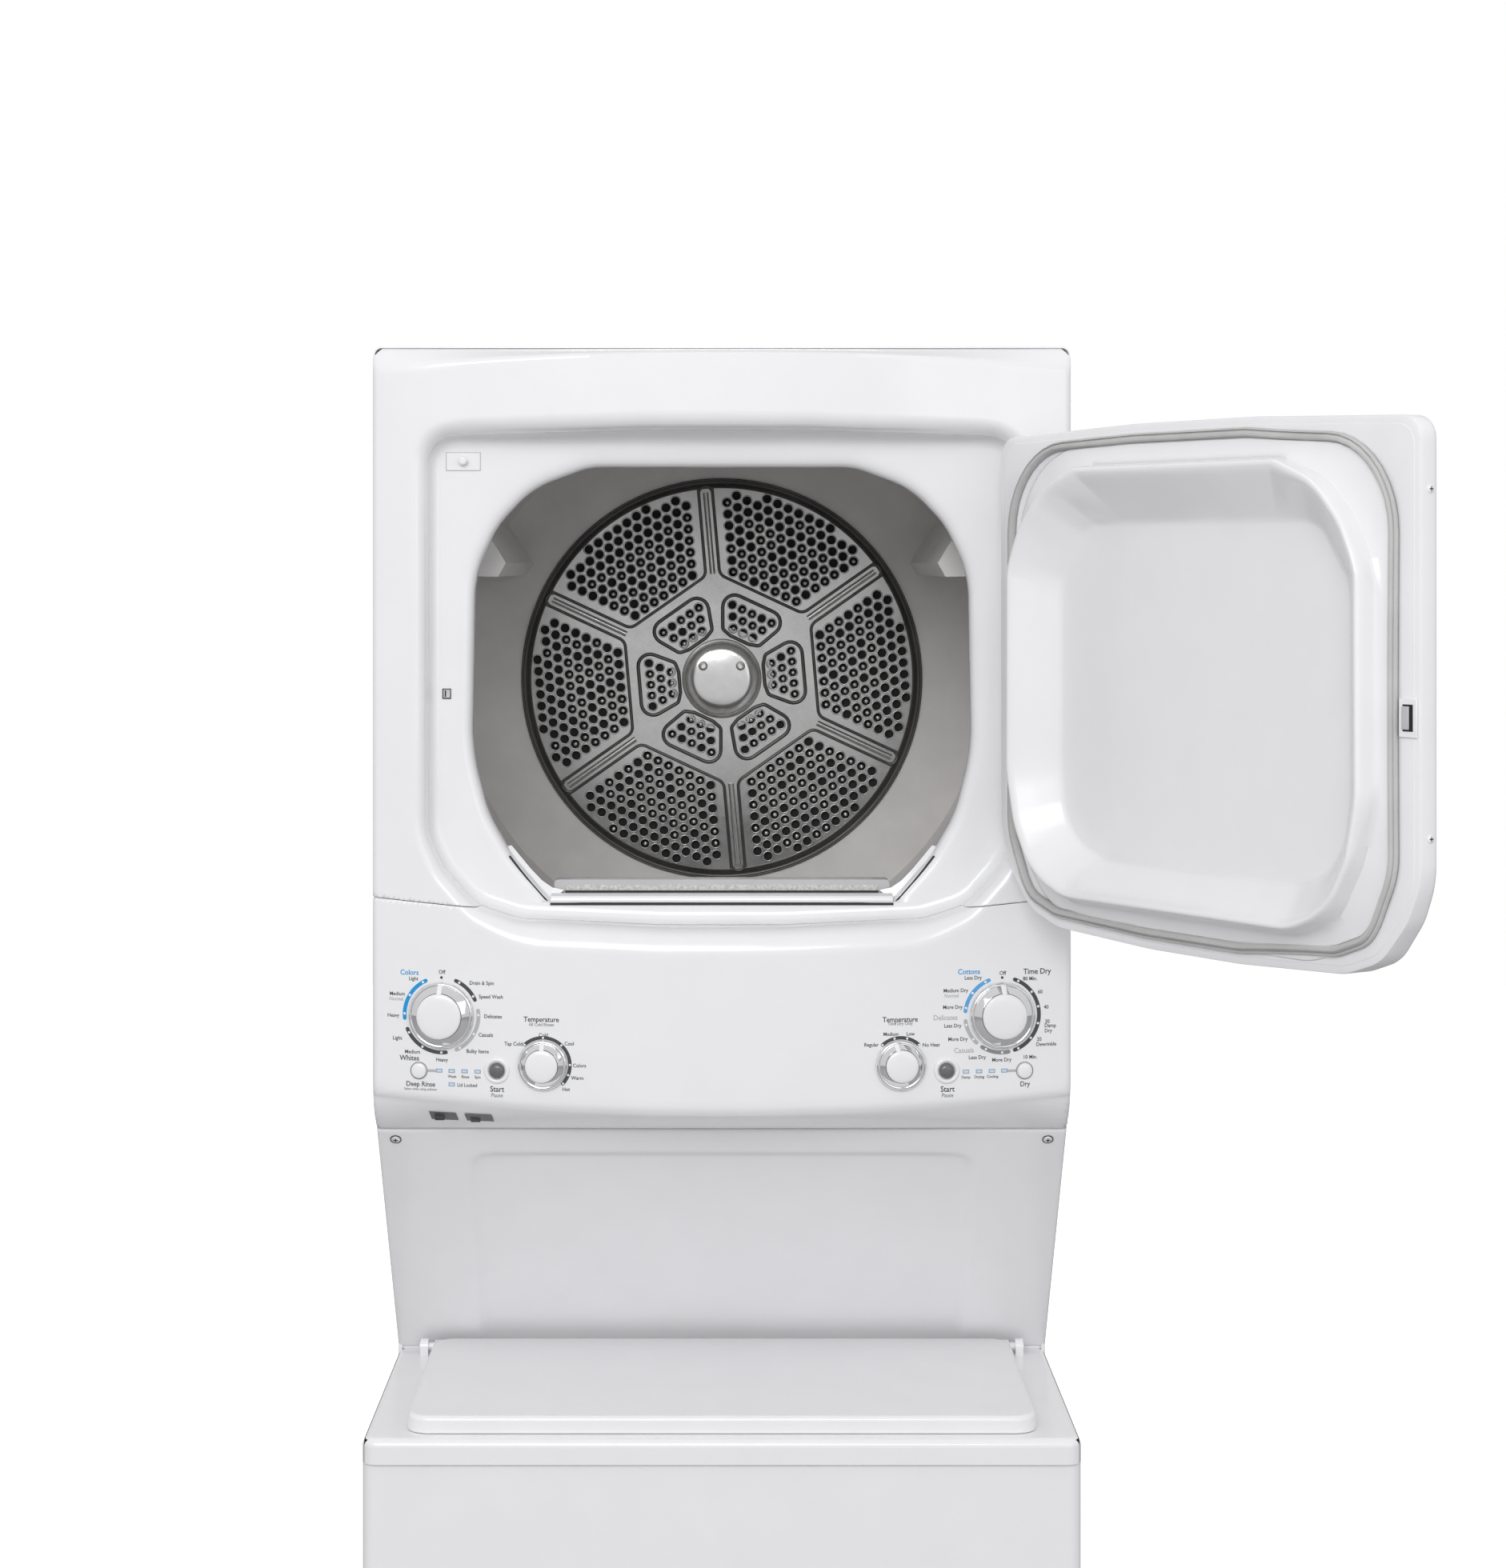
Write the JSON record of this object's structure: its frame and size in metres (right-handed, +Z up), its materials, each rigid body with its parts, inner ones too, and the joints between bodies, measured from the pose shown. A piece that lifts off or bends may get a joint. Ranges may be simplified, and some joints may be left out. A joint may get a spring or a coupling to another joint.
{
  "type": "stacked washer and dryer",
  "caption": "Tall white laundry centre with a front-loading tumble dryer, its door open, over a top-loading washer, with a dial console between.",
  "frame": {"origin": "on the floor at the middle of the footprint", "axes": "+X to the right as seen from the front, the front faces -Y, +Z up"},
  "size_m": [0.9229, 1.1877, 1.927],
  "materials": {
    "white_enamel": "gloss",
    "white_plastic": "gloss",
    "chrome": "polished",
    "stainless": "satin",
    "drum_paint": "satin",
    "dark_rubber": "matte",
    "grey_plastic": "matte",
    "black_plastic": "matte",
    "zinc_steel": "galvanised",
    "felt": "felt",
    "aluminium_duct": "satin",
    "motor_metal": "satin",
    "lens_plastic": "gloss",
    "light_grey_plastic": "satin"
  },
  "bodies": {
    "cabinet": {"base_frame": "zinc_steel", "leveling_feet": "dark_rubber", "side_panel_left": "white_enamel", "side_panel_right": "white_enamel", "washer_front_panel": "white_enamel", "washer_top_deck": "white_enamel", "rear_panel": "zinc_steel", "top_cover": "white_enamel", "dryer_front_panel": "white_enamel", "control_console": "white_plastic", "slope_access_panel": "white_enamel", "panel_screws": "zinc_steel", "dryer_floor_shelf": "zinc_steel", "drum_front_bulkhead": "zinc_steel", "drum_front_felt": "felt", "rear_bearing": "grey_plastic", "heater_housing": "zinc_steel", "lint_duct": "grey_plastic", "blower_housing": "grey_plastic", "dryer_motor": "motor_metal", "drum_belt": "dark_rubber", "exhaust_duct": "aluminium_duct", "door_strike": "zinc_steel", "door_switch_housing": "white_plastic", "indicator_lenses": "lens_plastic", "control_module": "black_plastic", "outer_tub": "grey_plastic", "suspension_rods": "zinc_steel", "washer_drive_motor": "motor_metal", "drain_pump": "black_plastic", "water_inlet_valve": "white_plastic"},
    "drum": {"drum_shell": "drum_paint", "rear_grille_disc": "stainless", "hub_plate": "stainless", "hub_screws": "zinc_steel", "drum_shaft": "zinc_steel", "drum_baffles": "drum_paint"},
    "dryer_rotor": {"blower_wheel": "black_plastic", "motor_pulley": "zinc_steel"},
    "dryer_door": {"outer_door_panel": "white_enamel", "inner_door_liner": "white_plastic", "door_gasket": "dark_rubber", "door_catch": "white_plastic", "door_screws": "zinc_steel", "door_hinges": "zinc_steel"},
    "filter": {"lint_filter": "light_grey_plastic"},
    "switch_plunger": {"door_switch_plunger": "white_plastic"},
    "dryer_timer": {"dryer_timer_knob": "chrome"},
    "washer_timer": {"washer_timer_knob": "chrome"},
    "heat_selector": {"dryer_heat_knob": "chrome"},
    "temperature_selector": {"washer_temperature_knob": "chrome"},
    "dryer_start": {"dryer_start_button": "light_grey_plastic"},
    "washer_start": {"washer_start_button": "light_grey_plastic"},
    "dryer_option": {"dryer_option_button": "white_plastic"},
    "washer_option": {"washer_option_button": "white_plastic"},
    "outer_slider": {"outer_slide_switch": "black_plastic"},
    "inner_slider": {"inner_slide_switch": "black_plastic"},
    "lid": {"washer_lid": "white_enamel"},
    "basket": {"wash_basket": "stainless"},
    "agitator": {"agitator": "white_plastic"}
  },
  "joints": [
    {"name": "dryer_door_hinge", "type": "hinge", "parent": "cabinet", "child": "dryer_door", "pos_m": [0.283, -0.309, 1.605], "axis": [0, 0, 1], "range_deg": [-122, 5]},
    {"name": "washer_lid_hinge", "type": "hinge", "parent": "cabinet", "child": "lid", "pos_m": [0, -0.084, 0.898], "axis": [-1, 0, 0], "range_deg": [0, 52]},
    {"name": "drum_spin", "type": "hinge", "parent": "cabinet", "child": "drum", "pos_m": [0, 0, 1.58], "axis": [0, 1, 0], "continuous": true},
    {"name": "motor_spin", "type": "hinge", "parent": "cabinet", "child": "dryer_rotor", "pos_m": [0, 0, 1.15], "axis": [0, 1, 0], "continuous": true},
    {"name": "basket_spin", "type": "hinge", "parent": "cabinet", "child": "basket", "pos_m": [0, -0.105, 0.3], "axis": [0, 0, 1], "continuous": true},
    {"name": "agitator_turn", "type": "hinge", "parent": "basket", "child": "agitator", "pos_m": [0, -0.105, 0.3], "axis": [0, 0, 1], "continuous": true},
    {"name": "lint_filter_pull", "type": "slide", "parent": "cabinet", "child": "filter", "axis": [0, 0, 1], "range_m": [0, 0.25]},
    {"name": "door_switch_press", "type": "slide", "parent": "cabinet", "child": "switch_plunger", "axis": [0, 1, 0], "range_m": [0, 0.006], "stiffness_N_per_m": 250},
    {"name": "washer_timer_turn", "type": "hinge", "parent": "cabinet", "child": "washer_timer", "pos_m": [-0.2715, -0.31277, 1.278], "axis": [-0.1627, -0.9867, 0], "continuous": true},
    {"name": "dryer_timer_turn", "type": "hinge", "parent": "cabinet", "child": "dryer_timer", "pos_m": [0.2715, -0.31277, 1.278], "axis": [0.1627, -0.9867, 0], "continuous": true},
    {"name": "temperature_turn", "type": "hinge", "parent": "cabinet", "child": "temperature_selector", "pos_m": [-0.1724, -0.32607, 1.232], "axis": [-0.1033, -0.9947, 0], "range_deg": [-135, 46]},
    {"name": "heat_turn", "type": "hinge", "parent": "cabinet", "child": "heat_selector", "pos_m": [0.1724, -0.32607, 1.232], "axis": [0.1033, -0.9947, 0], "range_deg": [-65, 31]},
    {"name": "washer_start_press", "type": "slide", "parent": "cabinet", "child": "washer_start", "axis": [0.1301, 0.9915, 0], "range_m": [0, 0.002], "stiffness_N_per_m": 250},
    {"name": "dryer_start_press", "type": "slide", "parent": "cabinet", "child": "dryer_start", "axis": [-0.1301, 0.9915, 0], "range_m": [0, 0.002], "stiffness_N_per_m": 250},
    {"name": "washer_option_press", "type": "slide", "parent": "cabinet", "child": "washer_option", "axis": [0.1759, 0.9844, 0], "range_m": [0, 0.002], "stiffness_N_per_m": 250},
    {"name": "dryer_option_press", "type": "slide", "parent": "cabinet", "child": "dryer_option", "axis": [-0.1759, 0.9844, 0], "range_m": [0, 0.002], "stiffness_N_per_m": 250},
    {"name": "outer_slider_move", "type": "slide", "parent": "cabinet", "child": "outer_slider", "axis": [1, 0, 0], "range_m": [-0.009, 0.009]},
    {"name": "inner_slider_move", "type": "slide", "parent": "cabinet", "child": "inner_slider", "axis": [1, 0, 0], "range_m": [-0.009, 0.009]}
  ],
  "couplings": [
    {"joint": "motor_spin", "follows": "drum_spin", "ratio": 25.3}
  ]
}
